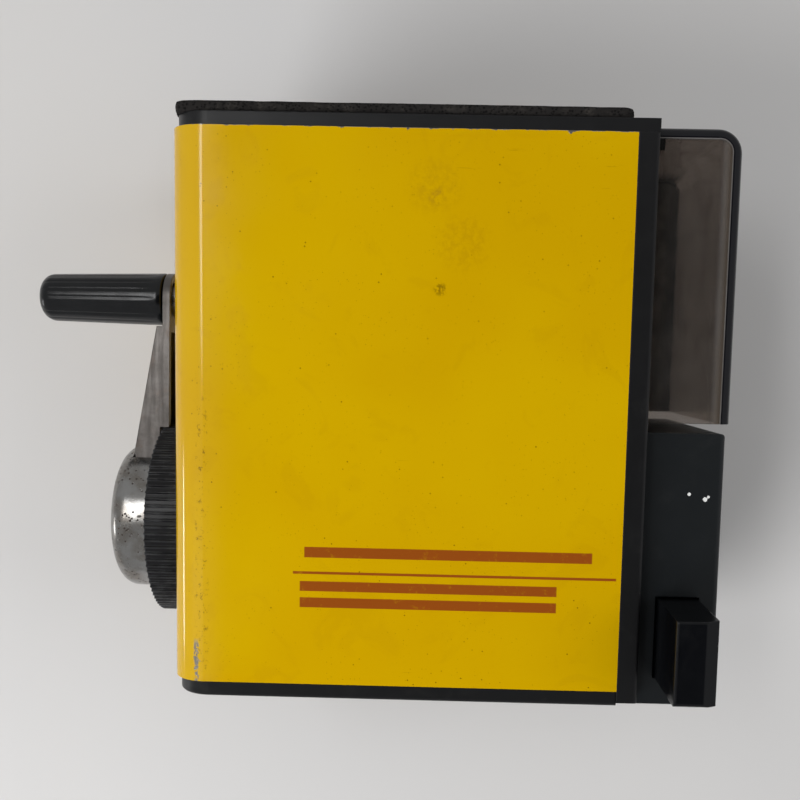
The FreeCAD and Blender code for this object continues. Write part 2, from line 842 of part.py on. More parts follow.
# Bearing ring and ring gear
def make_bearing_ring():
    y0 = rear_face + ring_wall_gap
    valley = ring_radius - knurl_depth
    pairs = toothed_points(knurl_count, valley, ring_radius, math.pi * knurl_root_share / knurl_count,
                           math.pi * knurl_tip_share / knurl_count)
    knurl = Part.Face(placed_wire(pairs, Vector(0, y0, axis_z), Vector(0, 0, 1), Vector(1, 0, 0), 1.0))
    flange = knurl.extrude(Vector(0, ring_outer - y0, 0))
    spigot = rod_y(spigot_radius, spigot_front, y0 + ring_web_inset)
    outer = union([flange, spigot])
    hollow_rear = ring_outer - ring_web_inset - ring_web
    outer = outer.cut(rod_y(spigot_bore, spigot_front - cut_past, hollow_rear))
    boss = rod_y(boss_ring_radius, boss_ring_inner, ring_outer)
    lug_rear = chassis_rear - rear_pad - spigot_gap
    solids = [outer, boss]
    for i in range(lug_count):
        lug = lug_sector(0, lug_rear - lug_thickness, lug_rear)
        lug.rotate(Vector(0, 0, axis_z), Vector(0, 1, 0), i * 360 / lug_count)
        solids.append(lug)
    return union(solids).cut(rod_y(shaft_radius + run_gap, boss_ring_inner - cut_past, ring_outer + cut_past))


def make_ring_gear():
    tip = ring_pitch - gear_addendum * gear_module
    root_half = flank_half_angle(ring_teeth, ring_pitch, ring_root, gear_backlash)
    tip_half = flank_half_angle(ring_teeth, ring_pitch, tip, gear_backlash)
    spaces = toothed_points(ring_teeth, tip, ring_root, tip_half, root_half)
    ends = []
    for y in (pinion_y - gear_face, pinion_y + gear_face):
        ends.append(placed_wire(spaces, Vector(0, y, axis_z), Vector(0, 0, -1), Vector(1, 0, 0),
                                (apex_y - y) / gear_reach))
    toothed = Part.makeLoft(ends, True, True)
    blank = rod_y(ring_gear_radius, pinion_y - gear_face / 2, pinion_y + gear_face / 2)
    return blank.cut(toothed)


# Crank
def make_crank_shaft():
    start = carrier_rear_face()
    blank = rod_y(shaft_radius, start, arm_outer)
    hole = rod_y(hub_screw_radius + seat_gap, hub_top - hub_screw_length - screw_pocket, arm_outer + cut_past)
    return blank.cut(hole)


def make_thrust_collar():
    start = carrier_rear_face() + carrier_plate
    return tube_y(shaft_radius + collar_wall, shaft_radius + seat_gap, start, boss_ring_inner - slide_gap)


def arm_plan(inset):
    """Tapered plan of the arm with a round end about the knob, extruded through the whole arm."""
    tip = arm_tip_width / 2 - inset
    root = arm_root_width / 2 - inset
    y0 = rear_face
    taper = polygon([
        Vector(-root, y0, axis_z),
        Vector(root, y0, axis_z),
        Vector(tip, y0, knob_z),
        Vector(-tip, y0, knob_z),
    ]).extrude(Vector(0, 2 * hub_top - 2 * y0, 0))
    return taper.fuse(rod_y(tip, y0, 2 * hub_top - y0, 0, knob_z))


def arm_side(shift):
    """Side profile of the arm, which slopes from the hub to a flat knob seat. With a shift, the hollow under its
    sheet."""
    wide = arm_root_width
    heel_z = knob_z + knob_base_radius + arm_seat_gap + shift
    low = knob_z - arm_tip_width
    bottom = arm_low - (cut_past if shift else 0)
    points = [
        Vector(-wide, arm_outer - shift, axis_z),
        Vector(-wide, arm_outer - shift, axis_z - hub_radius),
        Vector(-wide, arm_seat + arm_heel - shift, heel_z),
        Vector(-wide, arm_seat - shift, heel_z),
        Vector(-wide, arm_seat - shift, low),
        Vector(-wide, bottom, low),
        Vector(-wide, bottom, axis_z),
    ]
    return polygon(points).extrude(Vector(2 * wide, 0, 0))


def make_crank_arm():
    """Folded sheet arm whose side walls reach towards the body and step over the bearing ring."""
    ring_room = rod_y(ring_radius + arm_gap, arm_low - cut_past, arm_inner)
    solid = arm_side(0).common(arm_plan(0)).cut(ring_room)
    hollow = arm_side(arm_sheet).common(arm_plan(arm_sheet))
    eye = rod_y(arm_eye_radius, arm_outer - arm_sheet, arm_outer)
    boss = rod_y(shaft_radius + arm_boss_wall, arm_inner, arm_outer)
    arm = union([solid.cut(hollow), eye, boss])
    bore = rod_y(shaft_radius + seat_gap, arm_inner - cut_past, arm_outer + cut_past)
    stud_hole = rod_y(stud_radius + seat_gap, arm_low - cut_past, knob_base, 0, knob_z)
    return subtract(arm, [bore, stud_hole])


def hub_profile(inset):
    """Hub turned from its half section: a wall, a rounded corner and a shallow dome that meets it smoothly."""
    corner = hub_round - inset
    dome = hub_dome - inset
    corner_r = hub_radius - hub_round
    lean = math.asin(corner_r / (hub_dome - hub_round))
    dome_y = hub_top - hub_dome
    corner_y = dome_y + (hub_dome - hub_round) * math.cos(lean)
    bottom = arm_inner - (cut_past if inset else 0)

    def at(r, y):
        return Vector(0, y, axis_z + r)

    def round_point(mid_r, mid_y, size, angle):
        return at(mid_r + size * math.sin(angle), mid_y + size * math.cos(angle))

    wall_top = at(corner_r + corner, corner_y)
    corner_mid = round_point(corner_r, corner_y, corner, (lean + math.pi / 2) / 2)
    meet = round_point(corner_r, corner_y, corner, lean)
    dome_mid = round_point(0, dome_y, dome, lean / 2)
    top = at(0, dome_y + dome)
    edges = [
        Part.LineSegment(at(0, bottom), at(corner_r + corner, bottom)).toShape(),
        Part.LineSegment(at(corner_r + corner, bottom), wall_top).toShape(),
        Part.Arc(wall_top, corner_mid, meet).toShape(),
        Part.Arc(meet, dome_mid, top).toShape(),
        Part.LineSegment(top, at(0, bottom)).toShape(),
    ]
    return Part.Face(Part.Wire(edges)).revolve(Vector(0, 0, axis_z), Vector(0, 1, 0), 360)


def hub_screw_start():
    return Vector(0, hub_top - hub_screw_sink, axis_z)


def make_hub_cap():
    shell = hub_profile(0).cut(hub_profile(hub_shell))
    post = rod_y(hub_screw_radius + hub_post_wall, arm_outer, hub_top - hub_shell / 2)
    notch = arm_root_width / 2 + hub_notch_gap
    slot = box(-notch, notch, arm_inner - cut_past, arm_outer + hub_notch_gap, axis_z - hub_radius - cut_past,
               axis_z - hub_radius / 2)
    screw = countersink(hub_screw_start(), Vector(0, -1, 0), hub_screw_length, hub_screw_radius,
                        hub_screw_head, seat_gap)
    return subtract(union([shell, post]), [slot, screw])


def make_hub_screw():
    return countersunk(hub_screw_start(), Vector(0, -1, 0), hub_screw_length, hub_screw_radius, hub_screw_head)


def make_knob_stud():
    web_inner = arm_seat - arm_sheet
    pin = rod_y(stud_radius, web_inner, knob_base + knob_length - knob_bore_rest - knob_gap, 0, knob_z)
    head = rod_y(stud_radius + stud_head, web_inner - stud_head_thickness, web_inner, 0, knob_z)
    return union([pin, head])


def make_knob():
    base = Vector(0, knob_base, knob_z)
    body = Part.makeCone(knob_base_radius, knob_tip_radius, knob_length, base, Vector(0, 1, 0))
    tip = [e for e in body.Edges if e.CenterOfMass.y > knob_base + knob_length - tiny]
    body = body.makeFillet(knob_round, tip)
    bore_end = knob_base + knob_length - knob_bore_rest
    return body.cut(rod_y(stud_radius + run_gap, knob_base - cut_past, bore_end, 0, knob_z))


# Cutter head
def carrier_rear_face():
    return pinion_y + gear_face / 2 + carrier_end_gap + cutter_tip_lean()


def cutter_tip_lean():
    """How far the pinion's tilted end face reaches past its middle."""
    return (pinion_pitch + gear_module) * math.sin(cone)


def carrier_front_face():
    return cutter_front - cutter_radius * math.sin(cone) - carrier_end_gap


def make_cutter_carrier():
    front = carrier_front_face()
    rear = carrier_rear_face()
    outer = carrier_bore + carrier_wall
    axle_front = cutter_point(front)
    rim = axis_z - axle_front.z + axle_radius + carrier_rim
    front_disc = rod_y(rim, front - carrier_front_plate, front)
    rear_disc = rod_y(outer, rear, rear + carrier_plate)
    half_tube = tube_y(outer, carrier_bore, front - carrier_front_plate / 2, rear + carrier_plate / 2)
    half_tube = half_tube.common(box(-outer, outer, front - rim, rear + rim, axis_z, axis_z + outer))
    body = union([front_disc, rear_disc, half_tube])
    cuts = [
        rod_y(carrier_bore, front - carrier_front_plate - cut_past, front + cut_past),
        rod_y(shaft_radius + seat_gap, rear - cut_past, rear + carrier_plate + cut_past),
        axle_rod(axle_radius + seat_gap),
    ]
    return subtract(body, cuts)


def axle_rod(radius):
    start = cutter_point(carrier_front_face() - carrier_front_plate - cut_past)
    end = cutter_point(carrier_rear_face() + carrier_plate + cut_past)
    return Part.makeCylinder(radius, (end - start).Length, start, cutter_dir)


def make_cutter_axle():
    front = carrier_front_face() - carrier_front_plate
    rear = carrier_rear_face() + carrier_plate
    blank = axle_rod(axle_radius)
    return blank.common(box(-cutter_radius, cutter_radius, front, rear, 0, 2 * axis_z))


def axle_frame():
    """Directions square to the cutter's axis: away from the crank axis, and across."""
    across = Vector(1, 0, 0)
    return cutter_dir.cross(across), across


def make_cutter():
    along, across = axle_frame()
    root = cutter_radius - cutter_tooth_depth
    pitch = math.pi / cutter_teeth
    pairs = toothed_points(cutter_teeth, root, cutter_radius, pitch * cutter_root_share,
                           pitch * cutter_tip_share)
    start = cutter_point(cutter_front)
    length = (cutter_point(cutter_rear) - start).Length
    sections = []
    for section in range(cutter_sections):
        share = section / (cutter_sections - 1)
        turn = math.radians(cutter_twist) * share
        turned = [(radius, angle + turn) for radius, angle in pairs]
        sections.append(placed_wire(turned, start + cutter_dir * (length * share), along, across, 1.0))
    body = Part.makeLoft(sections, True, True)
    return body.cut(axle_rod(axle_radius + run_gap))


def make_pinion():
    along, across = axle_frame()
    root = pinion_pitch - gear_dedendum * gear_module
    tip = pinion_pitch + gear_addendum * gear_module
    root_half = flank_half_angle(pinion_teeth, pinion_pitch, root, -gear_backlash)
    tip_half = flank_half_angle(pinion_teeth, pinion_pitch, tip, -gear_backlash)
    pairs = toothed_points(pinion_teeth, root, tip, root_half, tip_half)
    middle = cutter_point(pinion_y)
    apex = Vector(0, apex_y, axis_z)
    span = (apex - middle).Length
    ends = []
    for offset in (-gear_face / 2, gear_face / 2):
        ends.append(placed_wire(pairs, middle + cutter_dir * offset, along, across, (span - offset) / span))
    gear = Part.makeLoft(ends, True, True)
    hub_start = cutter_point(cutter_rear)
    hub_length = (middle - hub_start).Length
    hub = Part.makeCylinder(axle_radius + pinion_hub_wall, hub_length, hub_start, cutter_dir)
    return union([gear, hub]).cut(axle_rod(axle_radius + run_gap))


os.makedirs("parts", exist_ok=True)

feed_spring = make_feed_spring()
jaw_spring = make_jaw_spring()
rod_bush = make_rod_bush()
guide_rod = make_guide_rod()

pieces = {
    "foam_pad": make_foam_pad(),
    "base_plate": make_base_plate(),
    "base_screws": make_base_screws(),
    "body_shell": make_body_shell(),
    "top_cover": make_top_cover(),
    "front_bezel": make_front_bezel(),
    "bezel_screws": make_bezel_screws(),
    "chassis": make_chassis(),
    "pencil_guide": make_pencil_guide(),
    "rod_bush_right": rod_bush,
    "rod_bush_left": mirrored(rod_bush),
    "feed_spring_right": feed_spring,
    "feed_spring_left": mirrored(feed_spring),
    "drawer": make_drawer(),
    "carriage_cover": make_carriage_cover(),
    "carriage_plate": make_carriage_plate(),
    "plate_screws": make_plate_screws(),
    "entry_ring": make_entry_ring(),
    "guide_rod_right": guide_rod,
    "guide_rod_left": mirrored(guide_rod),
    "rod_seats": make_rod_seats(),
    "jaw_spring_right": jaw_spring,
    "jaw_spring_left": mirrored(jaw_spring),
    "ear_right": make_ear(True),
    "jaw_right": make_jaw(True),
    "ear_left": mirrored(make_ear(False)),
    "jaw_left": mirrored(make_jaw(False)),
    "bearing_ring": make_bearing_ring(),
    "ring_gear": make_ring_gear(),
    "crank_shaft": make_crank_shaft(),
    "thrust_collar": make_thrust_collar(),
    "crank_arm": make_crank_arm(),
    "hub_cap": make_hub_cap(),
    "hub_screw": make_hub_screw(),
    "knob_stud": make_knob_stud(),
    "knob": make_knob(),
    "cutter_carrier": make_cutter_carrier(),
    "cutter_axle": make_cutter_axle(),
    "cutter": make_cutter(),
    "pinion": make_pinion(),
}
for node, shape in pieces.items():
    save(shape, node)
    print(node, len(shape.Solids), round(shape.Volume, 1), shape.isValid())
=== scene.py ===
import math

import bpy
from mathutils import Matrix, Vector, noise


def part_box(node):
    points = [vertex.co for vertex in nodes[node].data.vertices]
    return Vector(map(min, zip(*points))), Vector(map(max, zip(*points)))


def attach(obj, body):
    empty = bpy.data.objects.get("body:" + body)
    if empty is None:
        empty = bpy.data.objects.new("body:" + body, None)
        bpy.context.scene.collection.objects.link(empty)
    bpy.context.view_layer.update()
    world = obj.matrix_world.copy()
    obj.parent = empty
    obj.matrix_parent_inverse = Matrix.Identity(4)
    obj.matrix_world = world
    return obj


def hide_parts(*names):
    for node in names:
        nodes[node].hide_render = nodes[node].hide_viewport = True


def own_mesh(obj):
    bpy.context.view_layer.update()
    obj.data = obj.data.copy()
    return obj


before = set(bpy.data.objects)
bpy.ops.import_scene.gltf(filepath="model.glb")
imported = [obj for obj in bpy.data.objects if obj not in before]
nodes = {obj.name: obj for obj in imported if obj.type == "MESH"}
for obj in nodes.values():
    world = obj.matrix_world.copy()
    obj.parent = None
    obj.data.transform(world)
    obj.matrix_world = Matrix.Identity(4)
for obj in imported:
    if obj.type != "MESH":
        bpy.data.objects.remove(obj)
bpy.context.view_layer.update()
scene = bpy.context.scene

# Lengths and places are millimetres in the part's own frame; the studio's are metres.
MM = 0.001
X, Y, Z = 0, 1, 2


# Material building blocks
class Shade:
    """A node material on object coordinates, which are the part's own metres. Masks go from
    0 to 1."""

    def __init__(self, name):
        self.mat = bpy.data.materials.new(name)
        self.mat.use_nodes = True
        self.tree = self.mat.node_tree
        self.tree.nodes.clear()
        self.out = self.node("ShaderNodeOutputMaterial")
        self.bsdf = self.node("ShaderNodeBsdfPrincipled")
        self.wire(self.bsdf.outputs[0], self.out.inputs[0])
        self.coord = self.node("ShaderNodeTexCoord").outputs["Object"]
        place = self.node("ShaderNodeSeparateXYZ")
        self.wire(self.coord, place.inputs[0])
        self.place = place.outputs

    def node(self, kind, **settings):
        made = self.tree.nodes.new(kind)
        for key, value in settings.items():
            setattr(made, key, value)
        return made

    def wire(self, source, target):
        self.tree.links.new(source, target)

    def put(self, target, value):
        if isinstance(value, bpy.types.NodeSocket):
            self.wire(value, target)
        elif isinstance(value, tuple) and len(value) == 3 and target.type == "RGBA":
            target.default_value = (*value, 1.0)
        else:
            target.default_value = value

    def set(self, **values):
        """Set or wire the shader's own sockets, with _ for each space in a socket's name."""
        for key, value in values.items():
            self.put(self.bsdf.inputs[key.replace("_", " ")], value)

    # Arithmetic
    def math(self, operation, a, b=0.0):
        made = self.node("ShaderNodeMath", operation=operation)
        self.put(made.inputs[0], a)
        self.put(made.inputs[1], b)
        return made.outputs[0]

    def plus(self, a, b):
        return self.math("ADD", a, b)

    def minus(self, a, b):
        return self.math("SUBTRACT", a, b)

    def times(self, a, b):
        return self.math("MULTIPLY", a, b)

    def most(self, first, *others):
        for other in others:
            first = self.math("MAXIMUM", first, other)
        return first

    def invert(self, mask):
        return self.minus(1.0, mask)

    def span(self, value, low, high, to_low=0.0, to_high=1.0):
        """Smooth step from low to high."""
        made = self.node("ShaderNodeMapRange", interpolation_type="SMOOTHSTEP")
        self.put(made.inputs["Value"], value)
        made.inputs["From Min"].default_value = low
        made.inputs["From Max"].default_value = high
        made.inputs["To Min"].default_value = to_low
        made.inputs["To Max"].default_value = to_high
        return made.outputs["Result"]

    def blend(self, share, a, b):
        made = self.node("ShaderNodeMix", data_type="RGBA")
        self.put(made.inputs[0], share)
        self.put(made.inputs[6], a)
        self.put(made.inputs[7], b)
        return made.outputs[2]

    # Patterns
    def noise(self, size, detail=3.0, rough=0.55, warp=0.0):
        """Noise whose features are about size."""
        made = self.node("ShaderNodeTexNoise")
        self.wire(self.coord, made.inputs["Vector"])
        made.inputs["Scale"].default_value = 1.0 / (size * MM)
        made.inputs["Detail"].default_value = detail
        made.inputs["Roughness"].default_value = rough
        made.inputs["Distortion"].default_value = warp
        return made.outputs["Fac"]

    def streaks(self, per_metre, turn=(0.0, 0.0, 0.0), detail=3.0, rough=0.5):
        """Noise drawn out into lines; per_metre counts its features along each turned axis."""
        drawn = self.node("ShaderNodeMapping")
        self.wire(self.coord, drawn.inputs["Vector"])
        drawn.inputs["Scale"].default_value = per_metre
        drawn.inputs["Rotation"].default_value = turn
        made = self.node("ShaderNodeTexNoise")
        self.wire(drawn.outputs[0], made.inputs["Vector"])
        made.inputs["Scale"].default_value = 1.0
        made.inputs["Detail"].default_value = detail
        made.inputs["Roughness"].default_value = rough
        return made.outputs["Fac"]

    def cells(self, size):
        """Cells of about size: the distance from each centre, and a random tone for each."""
        made = self.node("ShaderNodeTexVoronoi", feature="F1")
        self.wire(self.coord, made.inputs["Vector"])
        made.inputs["Scale"].default_value = 1.0 / (size * MM)
        tone = self.node("ShaderNodeSeparateColor")
        self.wire(made.outputs["Color"], tone.inputs[0])
        return made.outputs["Distance"], tone.outputs[0]

    def specks(self, size, radius, share):
        """Dots of a radius in a share of cells of a size."""
        soft = 0.01
        distance, tone = self.cells(size)
        dot = self.span(distance, 0.6 * radius / size, 1.4 * radius / size, 1.0, 0.0)
        return self.times(dot, self.span(tone, 1.0 - share - soft, 1.0 - share + soft))

    # Masks by place and direction
    def window(self, axis, low, high, soft):
        """One between two places along an axis, fading over soft at each."""
        place = self.place[axis]
        rise = self.span(place, (low - soft) * MM, (low + soft) * MM)
        fall = self.span(place, (high - soft) * MM, (high + soft) * MM, 1.0, 0.0)
        return self.times(rise, fall)

    def spot(self, y, z, radius):
        """One at a place on the side panels, fading to nothing at radius."""
        across = self.times(self.minus(self.place[Y], y * MM), 1 / (radius * MM))
        up = self.times(self.minus(self.place[Z], z * MM), 1 / (radius * MM))
        square = self.plus(self.times(across, across), self.times(up, up))
        return self.span(square, 0.0, 1.0, 1.0, 0.0)

    def facing(self, axis, low=0.7, high=0.9):
        """One on faces that look along an axis, either way; low and high are shares of the
        normal."""
        parts = self.node("ShaderNodeSeparateXYZ")
        self.wire(self.node("ShaderNodeNewGeometry").outputs["True Normal"], parts.inputs[0])
        return self.span(self.math("ABSOLUTE", parts.outputs[axis]), low, high)

    def edge_mask(self, rounded):
        """One along the edges, where the rounded normal leaves the true one."""
        dot = self.node("ShaderNodeVectorMath", operation="DOT_PRODUCT")
        self.wire(self.node("ShaderNodeNewGeometry").outputs["Normal"], dot.inputs[0])
        self.wire(rounded, dot.inputs[1])
        return self.span(self.invert(dot.outputs["Value"]), 0.02, 0.2)

    # Relief and depth
    def bump(self, height, depth, strength=1.0, under=None):
        """Normals for a relief of a depth, on top of the normals under it."""
        made = self.node("ShaderNodeBump")
        made.inputs["Strength"].default_value = strength
        made.inputs["Distance"].default_value = depth * MM
        self.wire(height, made.inputs["Height"])
        if under is not None:
            self.wire(under, made.inputs["Normal"])
        return made.outputs[0]

    def soften(self, radius):
        """Normals with the edges rounded over a radius."""
        made = self.node("ShaderNodeBevel", samples=4)
        made.inputs["Radius"].default_value = radius * MM
        return made.outputs[0]

    def absorb(self, colour, density):
        """Tint that deepens with the thickness of the wall; density is per metre."""
        made = self.node("ShaderNodeVolumeAbsorption")
        made.inputs["Color"].default_value = (*colour, 1.0)
        made.inputs["Density"].default_value = density
        self.wire(made.outputs[0], self.out.inputs["Volume"])


def rgb(red, green, blue):
    """Linear colour from display values of 0 to 255."""
    def linear(value):
        v = value / 255
        return v / 12.92 if v <= 0.04045 else ((v + 0.055) / 1.055) ** 2.4
    return (linear(red), linear(green), linear(blue))


# Marks on the yellow wrap: spots as (y, z, radius), bands as (from, to)
WRAP_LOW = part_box("body_shell")[0].z / MM
WRAP_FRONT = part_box("body_shell")[0].y / MM
RUBBED_SPOT = (-6.4, 16.3, 2.6)
FAINT_SPOTS = ((-6.0, 14.5, 6.5), (-11.5, 24.5, 6.5))
DARK_SPOT = (-7.5, 32.8, 1.5)
STAIN_Y, STAIN_Z = (34.9, 37.2), (55, 104)
SCRAPE_Y, SCRAPE_Z = (36.45, 37.3), (99.4, 107.5)
PRINT_X = 29.15
PRINT = (
    ((-41.4, 18.9), (85.35, 85.85)),
    ((-30.4, 17.6), (87.2, 89.1)),
    ((-30.4, 17.6), (90.3, 92.2)),
    ((-36.8, 16.8), (80.7, 82.7)),
)


def yellow_enamel():
    """Stoved yellow enamel on folded sheet: fine orange peel, trails of specks, rubbed smudges
    and chipped edges."""
    s = Shade("yellow_enamel")
    colour = s.blend(s.span(s.noise(38, 2), 0.3, 0.7), rgb(204, 164, 0), rgb(199, 156, 0))
    grime = rubbed_grime(s)
    colour = s.blend(grime, colour, rgb(136, 92, 8))
    streak = s.streaks((60, 120, 2600), (0.3, 0.0, 0.0))
    scuff = s.times(s.span(streak, 0.69, 0.73), s.span(s.noise(24, 2), 0.54, 0.62))
    colour = s.blend(s.times(scuff, 0.3), colour, rgb(126, 88, 10))
    colour = s.blend(s.times(dark_specks(s), 0.88), colour, rgb(84, 54, 6))
    colour = s.blend(printed_bands(s), colour, rgb(141, 66, 20))
    chip = chipped_edges(s)
    metal = s.blend(s.noise(1.4, 3), rgb(120, 116, 108), rgb(176, 173, 166))
    s.set(Base_Color=s.blend(chip, colour, metal), Metallic=s.times(chip, 0.7))
    polish = s.span(s.noise(14, 4), 0.3, 0.7, 0.07, 0.11)
    s.set(Roughness=s.plus(polish, s.times(grime, 0.35)), IOR=1.5, Specular_IOR_Level=0.4)
    peel = s.bump(s.noise(0.9, 2), 0.0012)
    dent = s.bump(s.noise(22, 2), 0.03, 0.6, peel)
    s.set(Normal=s.bump(s.invert(chip), 0.05, 0.8, dent))
    return s.mat


def rubbed_grime(s):
    """Mask for faint trails all over and the smudges on the sides."""
    trail = s.span(s.noise(11, 5, 0.6, 1.2), 0.54, 0.66)
    faint = s.times(s.most(*(s.spot(*place) for place in FAINT_SPOTS)), 0.45)
    broken = s.span(s.noise(1.1, 6, 0.7, 0.4), 0.38, 0.66)
    smudge = s.times(s.most(s.spot(*RUBBED_SPOT), faint), broken)
    return s.most(s.times(trail, 0.06), s.times(smudge, 0.46))


def dark_specks(s):
    """Mask for dirt: two sizes of dots in drifts, one dark spot and the stain along the fold."""
    dots = s.times(s.specks(1.5, 0.13, 0.26), s.span(s.noise(10, 4, 0.6, 0.8), 0.48, 0.6))
    fine = s.times(s.specks(0.7, 0.07, 0.2), s.span(s.noise(7, 4, 0.6, 0.6), 0.44, 0.6))
    spot = s.times(s.spot(*DARK_SPOT), s.span(s.noise(0.8, 4, 0.7), 0.5, 0.56, 0.0, 0.7))
    stain = s.times(s.window(Y, *STAIN_Y, 0.5), s.window(Z, *STAIN_Z, 12))
    stain = s.times(stain, s.span(s.noise(0.9, 5, 0.75), 0.57, 0.63))
    return s.most(dots, s.times(fine, 0.7), spot, s.times(stain, 0.8))


def chipped_edges(s):
    """Mask for bare metal: knocks along the lower edge, nicks along the front edge and a
    scrape at the top of the rear fold."""
    ragged = s.noise(1.9, 5, 0.65)
    sparse = s.span(s.noise(9, 3), 0.5, 0.58)
    reach = s.times(s.span(ragged, 0.5, 0.74, 0.06 * MM, 0.75 * MM),
                    s.span(sparse, 0.0, 1.0, 0.25, 1.0))
    low = s.minus(s.place[Z], WRAP_LOW * MM)
    knocks = s.span(s.minus(reach, low), -0.04 * MM, 0.06 * MM)
    bite = s.times(s.span(ragged, 0.58, 0.78, 0.0, 0.3 * MM), sparse)
    front = s.minus(s.place[Y], WRAP_FRONT * MM)
    nicks = s.span(s.minus(bite, front), -0.02 * MM, 0.05 * MM)
    sway = s.span(s.noise(2.6, 3), 0.3, 0.7, -0.45 * MM, 0.45 * MM)
    wander = s.plus(s.place[Y], sway)
    first, last = SCRAPE_Y
    scrape = s.times(s.span(wander, (first - 0.15) * MM, (first + 0.15) * MM),
                     s.span(wander, (last - 0.2) * MM, (last + 0.2) * MM, 1.0, 0.0))
    scrape = s.times(scrape, s.window(Z, *SCRAPE_Z, 0.9))
    scrape = s.times(scrape, s.span(s.noise(0.8, 4, 0.7), 0.38, 0.5))
    return s.most(knocks, nicks, scrape)


def printed_bands(s):
    """Mask for the print on the right-hand panel: a plain rule and plain stripes, slightly
    worn."""
    right = s.span(s.place[X], (PRINT_X - 0.15) * MM, (PRINT_X + 0.15) * MM)
    bands = s.most(*(s.times(s.window(Y, *along, 0.1), s.window(Z, *up, 0.06))
                     for along, up in PRINT))
    ink = s.span(s.noise(1.6, 6, 0.7), 0.3, 0.42, 0.72, 0.96)
    return s.times(s.times(right, bands), ink)


def black_plastic(name, tone, rough, grain, dust, edge, gloss=0.34, nicks=()):
    """Moulded black plastic: spark grain, pale edges that are partly wear and partly a painted
    highlight, lint and a little dust; nicks are white marks on its right-hand side as (y, z,
    radius)."""
    s = Shade(name)
    rounded = s.soften(0.35)
    edges = s.times(s.edge_mask(rounded), s.span(s.noise(3.5, 4), 0.35, 0.65))
    base = s.blend(s.noise(16, 3), tuple(0.9 * c for c in tone), tuple(1.1 * c for c in tone))
    # Pale edges: partly wear, partly a painted highlight; edge sets how much, highest on the
    # ring's knurl
    base = s.blend(s.times(edges, edge), base, rgb(92, 94, 96))
    film = s.span(s.noise(7, 6, 0.65, 0.4), 0.52, 0.78)
    base = s.blend(s.times(film, 0.05 * dust), base, rgb(150, 148, 142))
    lint = s.times(s.specks(3.2, 0.13, 0.12), s.span(s.noise(9, 2), 0.5, 0.6))
    motes = s.times(s.specks(1.3, 0.06, 0.1), s.span(s.noise(6, 3), 0.42, 0.62))
    base = s.blend(s.times(s.most(lint, motes), dust), base, rgb(168, 166, 160))
    for place in nicks:
        ragged = s.times(s.spot(*place), s.span(s.noise(0.5, 3), 0.3, 0.7, 0.4, 1.4))
        right = s.span(s.place[X], 0.0, MM)
        base = s.blend(s.times(s.span(ragged, 0.3, 0.5), right), base, rgb(226, 226, 224))
    s.set(Base_Color=base, IOR=1.48, Specular_IOR_Level=gloss)
    wear = s.span(s.noise(5, 5, 0.6), 0.35, 0.7, rough - 0.025, rough + 0.025)
    s.set(Roughness=s.plus(wear, s.times(film, 0.021)))
    rub = s.streaks((160, 1900, 260), (0.2, 0.1, 0.5))
    texture = s.bump(s.noise(0.22, 2), grain, 1.0, rounded)
    s.set(Normal=s.bump(s.span(rub, 0.62, 0.7), 0.006, 0.3, texture))
    return s.mat


def smoke_plastic():
    """Smoked clear polystyrene with graphite specks and lint, painted shade along the rim where
    its walls meet and inside its left wall and floor, and a painted pale ledge of light behind
    the front.
    """
    s = Shade("smoke_plastic")
    cloud = s.span(s.noise(13, 5, 0.6, 0.5), 0.4, 0.75)
    base = s.blend(cloud, rgb(236, 232, 228), rgb(206, 198, 190))
    graphite = s.specks(1.9, 0.07, 0.16)
    lint = s.times(s.specks(4.4, 0.16, 0.12), s.span(s.noise(10, 2), 0.5, 0.6))
    base = s.blend(s.times(graphite, 0.6), base, rgb(40, 36, 32))
    base = s.blend(s.times(lint, 0.7), base, rgb(190, 186, 180))
    # Painted shade: a dark rim along the front and bottom; painted light: a pale ledge behind
    # the front. Both also pass less light
    rim, ledge = painted_rim_and_ledge(s)
    base = s.blend(ledge, base, rgb(128, 115, 102))
    base = s.blend(rim, base, rgb(20, 20, 24))
    # Painted shade on the inside of the left wall and the left half of the floor, which also
    # passes less light
    dust = painted_wall_shade(s)
    base = s.blend(dust, base, rgb(31, 29, 25))
    s.set(Base_Color=base, IOR=1.52, Specular_IOR_Level=0.2)
    clear = s.minus(s.span(cloud, 0.0, 1.0, 0.985, 0.962), s.times(lint, 0.5))
    for cover, left in ((ledge, 0.78), (rim, 0.15), (dust, 0.08)):
        clear = s.times(clear, s.span(cover, 0.0, 1.0, 1.0, left))
    s.set(Transmission_Weight=clear, Roughness=s.span(cloud, 0.0, 1.0, 0.04, 0.12))
    rub = s.streaks((200, 1700, 240), (0.4, 0.2, 0.1))
    s.set(Normal=s.bump(s.span(rub, 0.6, 0.72), 0.005, 0.5))
    s.absorb((0.34, 0.24, 0.17), 400)
    return s.mat


def painted_rim_and_ledge(s):
    """Masks for the edges of the drawer's sides, where its walls run into each other: painted
    shade as a dark rim along the front and the bottom, and a painted pale ledge of light behind
    the front."""
    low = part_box("drawer")[0] / MM
    corner, rim, ledge, soft = 4.4, 2.0, 4.6, 0.2
    front = s.most(s.minus((low.y + corner) * MM, s.place[Y]), 0.0)
    under = s.most(s.minus((low.z + corner) * MM, s.place[Z]), 0.0)
    outward = s.math("SQRT", s.plus(s.times(front, front), s.times(under, under)))
    inner = corner - rim
    dark = s.times(s.span(outward, (inner - soft) * MM, (inner + soft) * MM),
                   s.facing(X, 0.05, 0.25))
    pale = s.span(s.place[Y], (low.y + rim) * MM, (low.y + ledge) * MM, 1.0, 0.0)
    return dark, s.times(s.times(pale, s.facing(X)), s.invert(dark))


